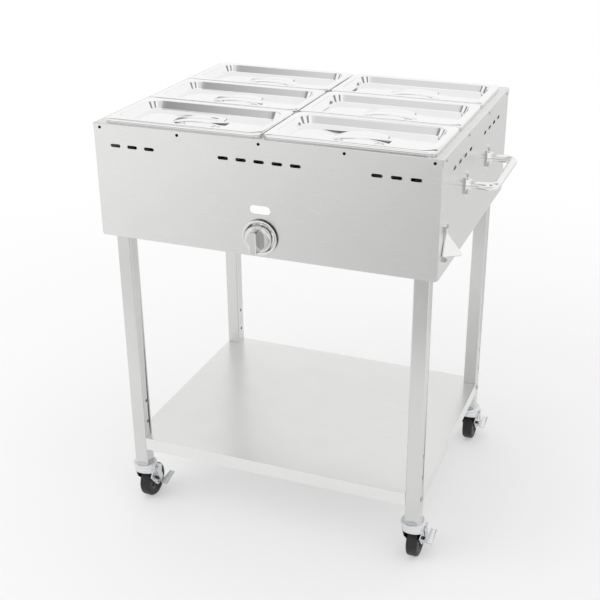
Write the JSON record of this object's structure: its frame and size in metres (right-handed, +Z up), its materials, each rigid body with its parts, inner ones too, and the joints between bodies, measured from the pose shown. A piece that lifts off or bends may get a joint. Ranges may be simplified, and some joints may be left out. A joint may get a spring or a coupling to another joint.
{
  "type": "mobile steam table",
  "caption": "Wheeled stainless gas steam table with lidded food pans over a water bath, knob, undershelf, side handle and bottle opener.",
  "frame": {"origin": "on the floor under the centre of the body's footprint", "axes": "+X towards the handle side, +Y from the knob's side to the back, +Z up"},
  "size_m": [0.7538, 0.6285, 0.8818],
  "materials": {
    "stainless": "fine satin sheet",
    "pan_steel": "bright pressed sheet",
    "polished_steel": "polished stainless",
    "knob_metal": "satin chrome plate",
    "zinc_plate": "bright zinc plate",
    "wheel_rubber": "smooth black",
    "bolt_steel": "plain",
    "black_screw": "black oxide",
    "seal_rubber": "matt",
    "valve_brass": "machined",
    "burner_steel": "heat-dulled tube"
  },
  "bodies": {
    "table": {"tank": "stainless", "front_panel": "stainless", "back_panel": "stainless", "left_panel": "stainless", "right_panel": "stainless", "pan_bars": "stainless", "leg_front_left": "stainless", "leg_front_right": "stainless", "leg_back_left": "stainless", "leg_back_right": "stainless", "leg_sockets": "stainless", "shelf": "stainless", "frame_bolts": "bolt_steel", "caster_top_front_left": "zinc_plate", "caster_top_front_right": "zinc_plate", "caster_top_back_left": "zinc_plate", "caster_top_back_right": "zinc_plate", "handle": "polished_steel", "handle_flanges": "polished_steel", "side_screws": "bolt_steel", "bottle_opener": "polished_steel", "panel_screws": "black_screw", "bezel_seal": "seal_rubber", "bezel": "polished_steel", "valve_body": "valve_brass", "gas_jet": "valve_brass", "gas_inlet": "valve_brass", "burner": "burner_steel", "burner_brackets": "stainless"},
    "pan_front_left": {"pan_front_left": "pan_steel"},
    "pan_middle_left": {"pan_middle_left": "pan_steel"},
    "pan_back_left": {"pan_back_left": "pan_steel"},
    "pan_front_right": {"pan_front_right": "pan_steel"},
    "pan_middle_right": {"pan_middle_right": "pan_steel"},
    "pan_back_right": {"pan_back_right": "pan_steel"},
    "lid_front_left": {"lid_front_left": "polished_steel"},
    "lid_middle_left": {"lid_middle_left": "polished_steel"},
    "lid_back_left": {"lid_back_left": "polished_steel"},
    "lid_front_right": {"lid_front_right": "polished_steel"},
    "lid_middle_right": {"lid_middle_right": "polished_steel"},
    "lid_back_right": {"lid_back_right": "polished_steel"},
    "fork_front_left": {"fork_front_left": "zinc_plate", "axle_front_left": "zinc_plate"},
    "wheel_front_left": {"wheel_front_left": "wheel_rubber"},
    "brake_front_left": {"brake_front_left": "zinc_plate"},
    "fork_front_right": {"fork_front_right": "zinc_plate", "axle_front_right": "zinc_plate"},
    "wheel_front_right": {"wheel_front_right": "wheel_rubber"},
    "brake_front_right": {"brake_front_right": "zinc_plate"},
    "fork_back_left": {"fork_back_left": "zinc_plate", "axle_back_left": "zinc_plate"},
    "wheel_back_left": {"wheel_back_left": "wheel_rubber"},
    "brake_back_left": {"brake_back_left": "zinc_plate"},
    "fork_back_right": {"fork_back_right": "zinc_plate", "axle_back_right": "zinc_plate"},
    "wheel_back_right": {"wheel_back_right": "wheel_rubber"},
    "brake_back_right": {"brake_back_right": "zinc_plate"},
    "valve_washer": {"valve_washer": "bolt_steel"},
    "knob": {"knob": "knob_metal", "valve_stem": "valve_brass"}
  },
  "joints": [
    {"name": "lift_pan_front_left", "type": "slide", "parent": "table", "child": "pan_front_left", "axis": [0, 0, 1], "range_m": [0, 0.25]},
    {"name": "lift_pan_middle_left", "type": "slide", "parent": "table", "child": "pan_middle_left", "axis": [0, 0, 1], "range_m": [0, 0.25]},
    {"name": "lift_pan_back_left", "type": "slide", "parent": "table", "child": "pan_back_left", "axis": [0, 0, 1], "range_m": [0, 0.25]},
    {"name": "lift_pan_front_right", "type": "slide", "parent": "table", "child": "pan_front_right", "axis": [0, 0, 1], "range_m": [0, 0.25]},
    {"name": "lift_pan_middle_right", "type": "slide", "parent": "table", "child": "pan_middle_right", "axis": [0, 0, 1], "range_m": [0, 0.25]},
    {"name": "lift_pan_back_right", "type": "slide", "parent": "table", "child": "pan_back_right", "axis": [0, 0, 1], "range_m": [0, 0.25]},
    {"name": "lift_lid_front_left", "type": "slide", "parent": "pan_front_left", "child": "lid_front_left", "axis": [0, 0, 1], "range_m": [0, 0.12]},
    {"name": "lift_lid_middle_left", "type": "slide", "parent": "pan_middle_left", "child": "lid_middle_left", "axis": [0, 0, 1], "range_m": [0, 0.12]},
    {"name": "lift_lid_back_left", "type": "slide", "parent": "pan_back_left", "child": "lid_back_left", "axis": [0, 0, 1], "range_m": [0, 0.12]},
    {"name": "lift_lid_front_right", "type": "slide", "parent": "pan_front_right", "child": "lid_front_right", "axis": [0, 0, 1], "range_m": [0, 0.12]},
    {"name": "lift_lid_middle_right", "type": "slide", "parent": "pan_middle_right", "child": "lid_middle_right", "axis": [0, 0, 1], "range_m": [0, 0.12]},
    {"name": "lift_lid_back_right", "type": "slide", "parent": "pan_back_right", "child": "lid_back_right", "axis": [0, 0, 1], "range_m": [0, 0.12]},
    {"name": "swivel_front_left", "type": "hinge", "parent": "table", "child": "fork_front_left", "pos_m": [-0.3095, -0.2445, 0.0912], "axis": [0, 0, 1], "continuous": true},
    {"name": "roll_front_left", "type": "hinge", "parent": "fork_front_left", "child": "wheel_front_left", "pos_m": [-0.3095, -0.2195, 0.0375], "axis": [1, 0, 0], "continuous": true},
    {"name": "press_brake_front_left", "type": "hinge", "parent": "fork_front_left", "child": "brake_front_left", "pos_m": [-0.2862, -0.2325, 0.079], "axis": [-1, 0, 0], "range_deg": [0, 6.5]},
    {"name": "swivel_front_right", "type": "hinge", "parent": "table", "child": "fork_front_right", "pos_m": [0.3095, -0.2445, 0.0912], "axis": [0, 0, 1], "continuous": true},
    {"name": "roll_front_right", "type": "hinge", "parent": "fork_front_right", "child": "wheel_front_right", "pos_m": [0.3095, -0.2195, 0.0375], "axis": [1, 0, 0], "continuous": true},
    {"name": "press_brake_front_right", "type": "hinge", "parent": "fork_front_right", "child": "brake_front_right", "pos_m": [0.3328, -0.2325, 0.079], "axis": [-1, 0, 0], "range_deg": [0, 6.5]},
    {"name": "swivel_back_left", "type": "hinge", "parent": "table", "child": "fork_back_left", "pos_m": [-0.3095, 0.2445, 0.0912], "axis": [0, 0, 1], "continuous": true},
    {"name": "roll_back_left", "type": "hinge", "parent": "fork_back_left", "child": "wheel_back_left", "pos_m": [-0.3095, 0.2695, 0.0375], "axis": [1, 0, 0], "continuous": true},
    {"name": "press_brake_back_left", "type": "hinge", "parent": "fork_back_left", "child": "brake_back_left", "pos_m": [-0.2862, 0.2565, 0.079], "axis": [-1, 0, 0], "range_deg": [0, 6.5]},
    {"name": "swivel_back_right", "type": "hinge", "parent": "table", "child": "fork_back_right", "pos_m": [0.3095, 0.2445, 0.0912], "axis": [0, 0, 1], "continuous": true},
    {"name": "roll_back_right", "type": "hinge", "parent": "fork_back_right", "child": "wheel_back_right", "pos_m": [0.3095, 0.2695, 0.0375], "axis": [1, 0, 0], "continuous": true},
    {"name": "press_brake_back_right", "type": "hinge", "parent": "fork_back_right", "child": "brake_back_right", "pos_m": [0.3328, 0.2565, 0.079], "axis": [-1, 0, 0], "range_deg": [0, 6.5]},
    {"name": "push_knob", "type": "slide", "parent": "table", "child": "valve_washer", "axis": [0, 1, 0], "range_m": [0, 0.004], "stiffness_N_per_m": 1200, "springref_m": -0.004},
    {"name": "turn_knob", "type": "hinge", "parent": "valve_washer", "child": "knob", "pos_m": [0, -0.278, 0.687], "axis": [0, 1, 0], "range_deg": [-210, 0]}
  ]
}
